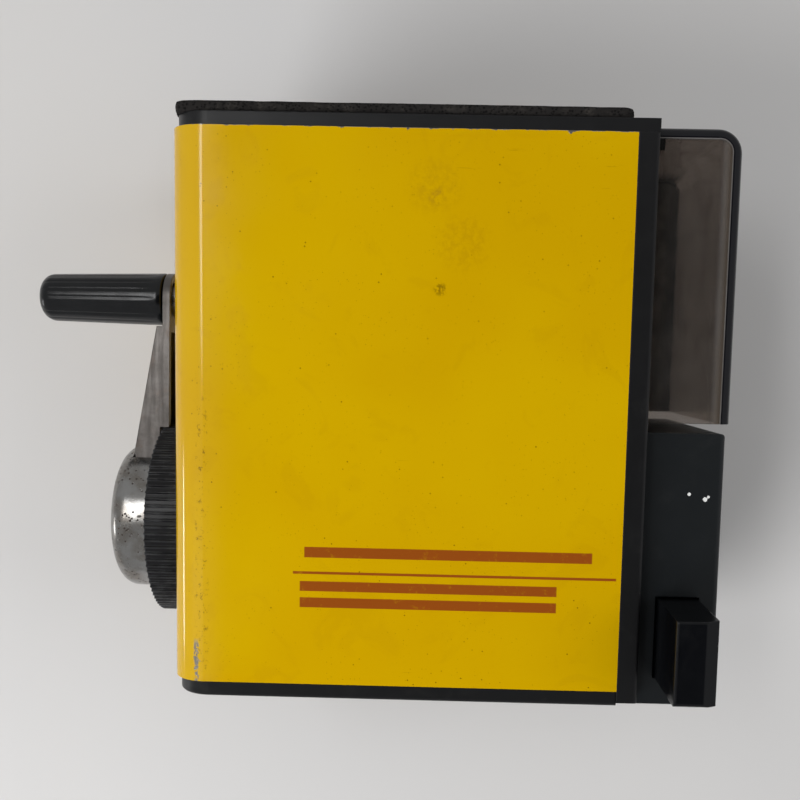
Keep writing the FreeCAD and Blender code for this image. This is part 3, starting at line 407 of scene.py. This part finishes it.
def painted_wall_shade(s):
    """Mask for painted shade inside the drawer, for the shadowed table seen through it: on its
    left wall, which is the lowest while it lies on its side, and on the left half of its floor.
    The inner faces are found between near and far from the outside."""
    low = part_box("drawer")[0] / MM
    near, far, soft = 1.0, 2.5, 0.2
    cover = s.span(s.noise(9, 5, 0.6), 0.2, 0.6, 0.6, 0.9)
    wall = s.times(s.window(X, low.x + near, low.x + far, soft), s.facing(X))
    floor = s.times(s.window(Z, low.z + near, low.z + far, soft), s.facing(Z))
    floor = s.times(floor, s.span(s.place[X], low.x * MM, 0.2 * low.x * MM, 1.0, 0.0))
    return s.times(s.most(wall, floor), cover)


def chrome():
    """Plated steel with pitting and a dull brownish bloom."""
    s = Shade("hub_chrome")
    bloom = s.span(s.noise(4.5, 6, 0.65, 0.3), 0.36, 0.68)
    base = s.blend(bloom, rgb(152, 151, 149), rgb(126, 121, 115))
    spread = s.most(s.specks(0.75, 0.2, 0.5), s.span(s.noise(1.5, 6, 0.75), 0.62, 0.69))
    pit = s.times(spread, s.span(s.noise(4.5, 4, 0.6), 0.42, 0.54))
    s.set(Base_Color=s.blend(pit, base, rgb(52, 42, 36)))
    s.set(Metallic=s.span(pit, 0.0, 1.0, 1.0, 0.25))
    fine = s.span(s.noise(2.4, 4), 0.3, 0.7, 0.17, 0.25)
    s.set(Roughness=s.plus(fine, s.times(s.most(pit, s.times(bloom, 0.16)), 0.4)))
    ripple = s.bump(s.noise(3.2, 2), 0.02, 0.5)
    s.set(Normal=s.bump(s.invert(pit), 0.05, 0.8, ripple))
    return s.mat


def bare_steel(name, bright, dull, rust, rough, along=(300, 300, 300)):
    """Rolled steel: draw lines, mottling and a breath of rust; along counts the lines per
    metre on each axis."""
    s = Shade(name)
    rounded = s.soften(0.25)
    mottle = s.span(s.noise(2.6, 6, 0.65, 0.3), 0.3, 0.7)
    bloom = s.times(s.span(s.noise(5.5, 7, 0.7, 0.5), 0.52, 0.74), rust)
    base = s.blend(bloom, s.blend(mottle, bright, dull), rgb(112, 84, 64))
    s.set(Base_Color=base, Metallic=s.span(bloom, 0.0, 1.0, 1.0, 0.55))
    lines = s.streaks(along, rough=0.6)
    worn = s.span(lines, 0.3, 0.7, rough - 0.06, rough + 0.08)
    s.set(Roughness=s.plus(worn, s.times(bloom, 0.2)))
    s.set(Normal=s.bump(lines, 0.012, 0.6, s.bump(s.noise(0.7, 4), 0.015, 0.6, rounded)))
    return s.mat


def knob_plastic():
    """Polished black plastic rubbed by fingers."""
    s = Shade("knob_plastic")
    haze = s.span(s.noise(5, 5, 0.6, 0.4), 0.42, 0.72)
    base = s.blend(haze, rgb(8, 9, 11), rgb(15, 16, 18))
    motes = s.specks(1.7, 0.07, 0.1)
    s.set(Base_Color=s.blend(s.times(motes, 0.5), base, rgb(150, 148, 144)), IOR=1.5)
    s.set(Roughness=s.span(s.noise(3, 5), 0.3, 0.75, 0.17, 0.27), Specular_IOR_Level=0.34)
    s.set(Normal=s.bump(s.streaks((1500, 120, 1500), detail=4, rough=0.6), 0.008, 0.7))
    return s.mat


def foam_rubber():
    """Black cellular foam, flattened and dusty."""
    s = Shade("foam_rubber")
    distance, tone = s.cells(0.55)
    pore = s.span(distance, 0.12, 0.5)
    base = s.blend(pore, rgb(14, 13, 13), rgb(34, 32, 31))
    dust = s.span(s.noise(5, 6, 0.65, 0.4), 0.5, 0.78)
    base = s.blend(s.times(dust, 0.22), base, rgb(122, 116, 108))
    s.set(Base_Color=base, Specular_IOR_Level=0.2)
    s.set(Roughness=s.span(tone, 0.0, 1.0, 0.82, 0.97))
    s.set(Normal=s.bump(pore, 0.16, 1.0, s.bump(s.noise(2.2, 4), 0.3, 0.7)))
    return s.mat


def cast_metal(name, light, dark, rough):
    """Die-cast or turned metal with a sandy skin and greasy patches."""
    s = Shade(name)
    grease = s.span(s.noise(7, 5, 0.6, 0.4), 0.45, 0.72)
    s.set(Base_Color=s.blend(grease, light, dark), Metallic=1.0)
    s.set(Roughness=s.span(s.noise(1.6, 4), 0.3, 0.7, rough - 0.06, rough + 0.1))
    s.set(Normal=s.bump(s.noise(0.35, 3), 0.02, 0.7, s.soften(0.2)))
    return s.mat


def nylon():
    """Milky gear nylon with graphite in its pores."""
    s = Shade("nylon")
    dirt = s.span(s.noise(3.5, 6, 0.65, 0.4), 0.5, 0.76)
    base = s.blend(s.noise(9, 2), rgb(224, 219, 205), rgb(214, 207, 190))
    s.set(Base_Color=s.blend(s.times(dirt, 0.55), base, rgb(84, 80, 76)))
    s.set(Roughness=s.span(s.noise(2, 4), 0.3, 0.7, 0.36, 0.52))
    s.set(Subsurface_Weight=0.12, Subsurface_Radius=(0.002, 0.002, 0.0015))
    s.set(Normal=s.bump(s.noise(0.5, 3), 0.012, 0.7, s.soften(0.15)))
    return s.mat


BLOCK_NICKS = ((-55.3, 69.8, 0.42), (-58.3, 70.7, 0.6), (-58.9, 70.2, 0.4))

enamel = yellow_enamel()
satin_black = black_plastic("satin_black", rgb(17, 20, 22), rough=0.40, grain=0.006, dust=0.35,
                            edge=0.08, nicks=BLOCK_NICKS)
frame_black = black_plastic("frame_black", rgb(15, 15, 16), rough=0.36, grain=0.006, dust=0.4,
                            edge=0.08)
# The ears' pale edges are partly a painted highlight
ear_black = black_plastic("ear_black", rgb(6, 7, 10), rough=0.2, grain=0.004, dust=0.2,
                          edge=0.25, gloss=0.24)
# The ring's pale edges paint the highlight along its knurl ridges
ring_black = black_plastic("ring_black", rgb(9, 8, 11), rough=0.33, grain=0.004, dust=0.3,
                           edge=0.9)
chassis_black = black_plastic("chassis_black", rgb(30, 30, 31), rough=0.52, grain=0.02,
                              dust=1.0, edge=0.1)
smoke = smoke_plastic()
hub_chrome = chrome()
rod_steel = bare_steel("rod_steel", rgb(190, 190, 190), rgb(160, 158, 155), rust=0.15,
                       rough=0.24, along=(900, 60, 900))
arm_steel = bare_steel("arm_steel", rgb(106, 102, 99), rgb(90, 86, 83), rust=0.3,
                       rough=0.36, along=(900, 900, 60))
jaw_steel = bare_steel("jaw_steel", rgb(150, 148, 145), rgb(120, 118, 115), rust=0.2,
                       rough=0.36, along=(900, 300, 100))
tool_steel = bare_steel("tool_steel", rgb(140, 140, 142), rgb(92, 92, 95), rust=0.1,
                        rough=0.26, along=(400, 400, 900))
spring_steel = bare_steel("spring_steel", rgb(176, 176, 178), rgb(140, 140, 142), rust=0.12,
                          rough=0.26)
screw_zinc = bare_steel("screw_zinc", rgb(186, 188, 192), rgb(150, 150, 152), rust=0.2,
                        rough=0.3)
zinc = cast_metal("zinc_casting", rgb(168, 170, 174), rgb(122, 122, 124), rough=0.42)
brass = cast_metal("brass", rgb(206, 168, 92), rgb(150, 116, 58), rough=0.3)
gear_nylon = nylon()
gloss_black = knob_plastic()
foam = foam_rubber()

finishes = {
    enamel: ["body_shell"],
    frame_black: ["front_bezel", "base_plate", "top_cover"],
    satin_black: ["carriage_cover", "carriage_plate", "entry_ring"],
    ear_black: ["ear_right", "ear_left"],
    ring_black: ["bearing_ring"],
    chassis_black: ["chassis", "pencil_guide"],
    smoke: ["drawer"],
    hub_chrome: ["hub_cap"],
    rod_steel: ["guide_rod_right", "guide_rod_left", "crank_shaft", "cutter_axle"],
    arm_steel: ["crank_arm"],
    jaw_steel: ["jaw_right", "jaw_left", "rod_seats"],
    tool_steel: ["cutter"],
    spring_steel: ["feed_spring_right", "feed_spring_left", "jaw_spring_right",
                   "jaw_spring_left"],
    screw_zinc: ["base_screws", "bezel_screws", "plate_screws", "hub_screw", "knob_stud"],
    zinc: ["cutter_carrier", "pinion"],
    brass: ["rod_bush_right", "rod_bush_left", "thrust_collar"],
    gear_nylon: ["ring_gear"],
    gloss_black: ["knob"],
    foam: ["foam_pad"],
}
for finish, names in finishes.items():
    for name in names:
        slots = nodes[name].data.materials
        for index in range(len(slots)):
            slots[index] = finish


# Soft and wound pieces, and the fluted knob
def add_piece(name, points, faces, finish):
    mesh = bpy.data.meshes.new(name)
    mesh.from_pydata([Vector(p) * MM for p in points], [], faces)
    mesh.materials.append(finish)
    for polygon in mesh.polygons:
        polygon.use_smooth = True
    piece = bpy.data.objects.new(name, mesh)
    scene.collection.objects.link(piece)
    return piece


def join_rings(rings):
    """Points and faces of a closed skin over rings that all have the same count of points."""
    count = len(rings[0])
    points = [p for ring in rings for p in ring]
    faces = []
    for level in range(len(rings) - 1):
        a, b = level * count, (level + 1) * count
        for i in range(count):
            j = (i + 1) % count
            faces.append((a + i, a + j, b + j, b + i))
    faces.append(tuple(reversed(range(count))))
    faces.append(tuple(range(len(points) - count, len(points))))
    return points, faces


def wound_spring(name, start, axis, side, radius, wire, turns, length):
    """Round wire wound along axis with one closed turn at each end; start is the middle of the
    first end."""
    cross = axis.cross(side)
    steps, around = 30, 10
    pitch = (length - 2 * wire) / (turns - 2)
    rings = []
    for k in range(turns * steps + 1):
        turn = k / steps
        if turn < 1:
            rise = wire * turn
        elif turn > turns - 1:
            rise = length - wire * (turns - turn)
        else:
            rise = wire + pitch * (turn - 1)
        angle = 2 * math.pi * turn
        out = side * math.cos(angle) + cross * math.sin(angle)
        middle = start + axis * rise + out * radius
        ring = []
        for m in range(around):
            bend = 2 * math.pi * m / around
            ring.append(middle + (out * math.cos(bend) + axis * math.sin(bend)) * wire / 2)
        rings.append(ring)
    points, faces = join_rings(rings)
    return add_piece(name, points, faces, spring_steel)


def fit_spring(name, node, axis, side, wire, turns, end_gap):
    """Coil in the place of a spring's solid. Also gives the end that stays, in metres, and the
    length at rest."""
    axis, side = Vector(axis), Vector(side)
    low, high = (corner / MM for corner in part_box(node))
    length = abs((high - low).dot(axis))
    fixed = (low + high - axis * length) / 2
    coil = wound_spring(name, fixed + axis * end_gap, axis, side, (high.z - low.z - wire) / 2,
                        wire, turns, length - 2 * end_gap)
    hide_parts(node)
    return coil, fixed * MM, length


def make_springs():
    """Feed springs around the guide rods and jaw springs behind the ears."""
    feed_wire, feed_turns, carriage_travel = 0.6, 13, 38.0
    jaw_wire, jaw_turns, ear_travel = 0.5, 7, 5.0
    feed_gap, jaw_gap = 0.75 * feed_wire, 0.8 * jaw_wire
    for hand, sign in (("right", 1), ("left", -1)):
        feed, fixed, length = fit_spring(f"feed_coil_{hand}", f"feed_spring_{hand}", (0, 1, 0),
                                         (sign, 0, 0), feed_wire, feed_turns, feed_gap)
        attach(feed, "body")
        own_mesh(feed)
        jaw, fixed, length = fit_spring(f"jaw_coil_{hand}", f"jaw_spring_{hand}", (sign, 0, 0),
                                        (0, 0, 1), jaw_wire, jaw_turns, jaw_gap)
        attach(jaw, "carriage")
        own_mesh(jaw)


def foam_rim(half_x, half_y):
    """Points around the foam pad's outline, evenly spaced along its straight runs."""
    corner, corner_steps, spacing = 2.5, 12, 0.7
    x, y = half_x - corner, half_y - corner
    outline = []
    for quarter, (mid_x, mid_y) in enumerate(((x, y), (-x, y), (-x, -y), (x, -y))):
        for k in range(corner_steps + 1):
            angle = math.pi / 2 * (quarter + k / corner_steps)
            outline.append(Vector((mid_x + corner * math.cos(angle),
                                   mid_y + corner * math.sin(angle), 0)))
    rim = []
    for a, b in zip(outline, outline[1:] + outline[:1]):
        parts = max(1, round((b - a).length / spacing))
        rim += [a.lerp(b, k / parts) for k in range(parts)]
    return rim


def foam_wear(p, z):
    """How far the foam's rim is worn in at a place: shallow tears and a few deeper nicks."""
    torn_depth, torn_scale, torn_rise = 0.4, 0.35, 0.8
    nick_depth, nick_scale, nick_rise, nick_shift, nick_floor = 1.1, 0.11, 0.5, 9, 0.22
    torn = 0.5 + 0.5 * noise.noise(Vector((p.x, p.y, z * torn_rise)) * torn_scale)
    nick = noise.noise(Vector((p.x, p.y, z * nick_rise + nick_shift)) * nick_scale)
    return torn_depth * torn * torn + nick_depth * max(0.0, nick - nick_floor)


def make_foam():
    """Foam pad under the base with a rounded, ragged rim."""
    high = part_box("foam_pad")[1] / MM
    rim = foam_rim(high.x, high.y)
    # How far the rim draws in at each height
    profile = ((0.0, 1.1), (0.02, 0.55), (0.16, 0.2), (0.5, 0.06), (1.0, 0.03), (1.5, 0.08),
               (1.84, 0.16), (high.z, 0.3))
    rings = []
    for z, inset in profile:
        ring = []
        for k, p in enumerate(rim):
            along = (rim[(k + 1) % len(rim)] - rim[k - 1]).normalized()
            inward = Vector((-along.y, along.x, 0))
            ring.append(p + inward * (inset + foam_wear(p, z)) + Vector((0, 0, z)))
        rings.append(ring)
    points, faces = join_rings(rings)
    pad = add_piece("worn_foam", points, faces, foam)
    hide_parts("foam_pad")
    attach(pad, "body")


def knob_profile(foot, tip):
    """Outline of the knob as (y, radius, share of the flutes' depth), from its bore's end round
    its foot to its tip."""
    base_radius, tip_radius, end_round, centre_radius = 5.43, 4.84, 2.8, 0.02
    foot_round, collar, collar_taper, flutes_start = 0.4, 1.5, 0.02, 1.8
    bore_radius, bore_end = 2.05, tip - 3.0
    straight_steps, end_steps = 12, 10
    straight = tip - end_round
    half_round = 0.3 * foot_round

    def taper(y):
        return base_radius + (tip_radius - base_radius) * (y - foot) / (tip - foot)

    profile = [(bore_end, bore_radius, 0.0), (foot, bore_radius, 0.0),
               (foot, base_radius - foot_round, 0.0),
               (foot + half_round, base_radius - half_round, 0.0),
               (foot + foot_round, base_radius, 0.0),
               (foot + collar, base_radius - collar_taper, 0.0)]
    for k in range(straight_steps + 1):
        y = foot + flutes_start + (straight - foot - flutes_start) * k / straight_steps
        profile.append((y, taper(y), min(1.0, k)))
    for k in range(1, end_steps + 1):
        angle = math.pi / 2 * k / end_steps
        y = straight + end_round * math.sin(angle)
        radius = taper(straight) - end_round * (1 - math.cos(angle))
        profile.append((y, radius, max(0.0, 1 - 2 * k / end_steps)))
    profile.append((tip, centre_radius, 0.0))
    return profile


def make_knob():
    """Turned knob with shallow lengthwise flutes, a plain collar and a rounded end."""
    low, high = (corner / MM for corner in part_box("knob"))
    mid_z = (low.z + high.z) / 2
    flutes, flute_depth, flute_sharpness, around = 18, 0.09, 8, 216
    rings = []
    for y, radius, fluted in knob_profile(low.y, high.y):
        ring = []
        for k in range(around):
            angle = 2 * math.pi * k / around
            groove = abs(math.cos(flutes * angle / 2)) ** flute_sharpness
            r = radius - flute_depth * fluted * groove
            ring.append((r * math.cos(angle), y, mid_z + r * math.sin(angle)))
        rings.append(ring)
    points, faces = join_rings(rings)
    knob = add_piece("fluted_knob", points, [tuple(reversed(f)) for f in faces], gloss_black)
    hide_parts("knob")
    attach(knob, "knob")


make_springs()
make_foam()
make_knob()


# Studio, in metres: the pale table that the sharpener lies on, soft lamps and a pale room
CENTRE = Vector((0.0, 0.0, 0.055))
TABLE_HALF = 0.9
TABLE_FADE = (0.5, 0.9)
TABLE_GAP = 0.4 * MM
CARD_PLACE = (1.2, -0.05, 0.13)
CARD_HALF = (0.36, 0.44)
ROOM_COLOUR = (0.98, 0.99, 1.0, 1.0)
ROOM_LIGHT = 0.36
ROOM_SEEN = 0.5


def plain_table():
    """Pale matt table that is clear from below and fades out far from the object."""
    s = Shade("pale_table")
    base = s.blend(s.noise(140, 3), rgb(212, 210, 208), rgb(206, 205, 205))
    s.set(Base_Color=base, Specular_IOR_Level=0.3)
    s.set(Roughness=s.span(s.noise(30, 4), 0.3, 0.7, 0.5, 0.6))
    s.set(Normal=s.bump(s.noise(0.8, 2), 0.004))
    below = s.node("ShaderNodeNewGeometry").outputs["Backfacing"]
    radius = s.node("ShaderNodeVectorMath", operation="LENGTH")
    s.wire(s.coord, radius.inputs[0])
    mixed = s.node("ShaderNodeMixShader")
    s.wire(s.most(below, s.span(radius.outputs["Value"], *TABLE_FADE)), mixed.inputs[0])
    s.wire(s.bsdf.outputs[0], mixed.inputs[1])
    s.wire(s.node("ShaderNodeBsdfTransparent").outputs[0], mixed.inputs[2])
    s.wire(mixed.outputs[0], s.out.inputs[0])
    return s.mat


def add_sheet(name, half_y, half_z, place, facing, finish):
    """Flat stage sheet that faces along X, forwards or back by the sign of facing."""
    corners = [(0, -half_y, -half_z), (0, half_y, -half_z), (0, half_y, half_z),
               (0, -half_y, half_z)]
    mesh = bpy.data.meshes.new(name)
    mesh.from_pydata(corners, [], [(0, 1, 2, 3) if facing > 0 else (0, 3, 2, 1)])
    mesh.materials.append(finish)
    sheet = bpy.data.objects.new(name, mesh)
    sheet.location = place
    scene.collection.objects.link(sheet)
    return sheet


def make_table():
    under_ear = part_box("ear_left")[0].x - TABLE_GAP
    place = (under_ear, 0.0, CENTRE.z)
    return add_sheet("table", TABLE_HALF, TABLE_HALF, place, 1, plain_table())


def make_card():
    """Dark card far above the side that faces up, so that its gloss mirrors no light; the
    camera doesn't see it."""
    s = Shade("dark_card")
    s.set(Base_Color=s.blend(s.noise(60, 2), rgb(20, 20, 21), rgb(28, 28, 29)))
    s.set(Roughness=0.9, Specular_IOR_Level=0.1)
    card = add_sheet("card", *CARD_HALF, CARD_PLACE, -1, s.mat)
    card.visible_camera = False


def make_lamp(name, rise, bearing, width, length, power, mirrored=True, distance=0.9):
    """Soft lamp aimed at the object: rise above the table and bearing from the lid end towards
    the crank in degrees, length along the object's height. One that isn't mirrored shows
    neither in gloss nor through clear plastic."""
    up, turn = math.radians(rise), math.radians(bearing)
    level = math.cos(up)
    toward = Vector((math.sin(up), level * math.sin(turn), level * math.cos(turn)))
    light = bpy.data.lights.new(name, "AREA")
    light.shape = "ELLIPSE"
    light.size = width
    light.size_y = length
    light.energy = power
    lamp = bpy.data.objects.new(name, light)
    along = (Vector((0, 0, 1)) - toward * toward.z).normalized()
    aim = Matrix((along.cross(toward), along, toward)).transposed().to_4x4()
    lamp.matrix_world = Matrix.Translation(CENTRE + toward * distance) @ aim
    lamp.visible_glossy = mirrored
    lamp.visible_transmission = mirrored
    scene.collection.objects.link(lamp)
    return lamp


def pass_through(lamp, sheet):
    """Let a lamp's light through a stage sheet."""
    passed = bpy.data.collections.new(f"{lamp.name}_passes")
    passed.objects.link(sheet)
    for member in passed.collection_objects:
        member.light_linking.link_state = "EXCLUDE"
    lamp.light_linking.blocker_collection = passed


def make_world():
    """Pale room: one even light on the object, and one even tone wherever it is seen or
    mirrored."""
    world = bpy.data.worlds.new("room")
    scene.world = world
    world.use_nodes = True
    tree = world.node_tree
    tree.nodes.clear()
    path = tree.nodes.new("ShaderNodeLightPath")
    shown = path.outputs["Is Camera Ray"]
    for kind in ("Is Glossy Ray", "Is Transmission Ray"):
        either = tree.nodes.new("ShaderNodeMath")
        either.operation = "MAXIMUM"
        tree.links.new(shown, either.inputs[0])
        tree.links.new(path.outputs[kind], either.inputs[1])
        shown = either.outputs[0]
    mix = tree.nodes.new("ShaderNodeMixShader")
    tree.links.new(shown, mix.inputs[0])
    for socket, strength in ((1, ROOM_LIGHT), (2, ROOM_SEEN)):
        room = tree.nodes.new("ShaderNodeBackground")
        room.inputs[0].default_value = ROOM_COLOUR
        room.inputs[1].default_value = strength
        tree.links.new(room.outputs[0], mix.inputs[socket])
    tree.links.new(mix.outputs[0], tree.nodes.new("ShaderNodeOutputWorld").inputs[0])


table = make_table()
make_world()
make_card()
make_lamp("key_lamp", rise=45, bearing=50, width=0.4, length=0.4, power=2.4, mirrored=False,
          distance=0.6)
make_lamp("front_lamp", rise=38, bearing=266, width=0.6, length=0.6, power=2.1, mirrored=False)
make_lamp("ceiling_strip", rise=65, bearing=122, width=0.15, length=0.44, power=1.2)
make_lamp("low_strip", rise=3, bearing=78, width=0.04, length=0.2, power=0.5)
# Lights the side that lies on the table, for views from there
fill_lamp = make_lamp("fill_lamp", rise=-62, bearing=20, width=0.6, length=0.6, power=3.0,
                      mirrored=False)
pass_through(fill_lamp, table)


# Camera above the side that faces up, and upside down, as in the photograph
def make_camera():
    data = bpy.data.cameras.new("camera")
    data.sensor_width = 36.0
    data.lens = 46.04
    data.shift_x = -0.0427
    data.shift_y = 0.0823
    data.clip_start = 0.01
    camera = bpy.data.objects.new("camera", data)
    place = Vector((0.21774, -0.009884, 0.045419))
    right = Vector((-0.01706, -0.99964, -0.02094))
    down = Vector((0.10335, -0.02260, 0.99439))
    ahead = Vector((-0.99450, 0.01480, 0.10370))
    turn = Matrix((right, -down, -ahead)).transposed()
    camera.matrix_world = Matrix.Translation(place) @ turn.to_4x4()
    scene.collection.objects.link(camera)
    scene.camera = camera


make_camera()
scene.view_settings.view_transform = "Standard"
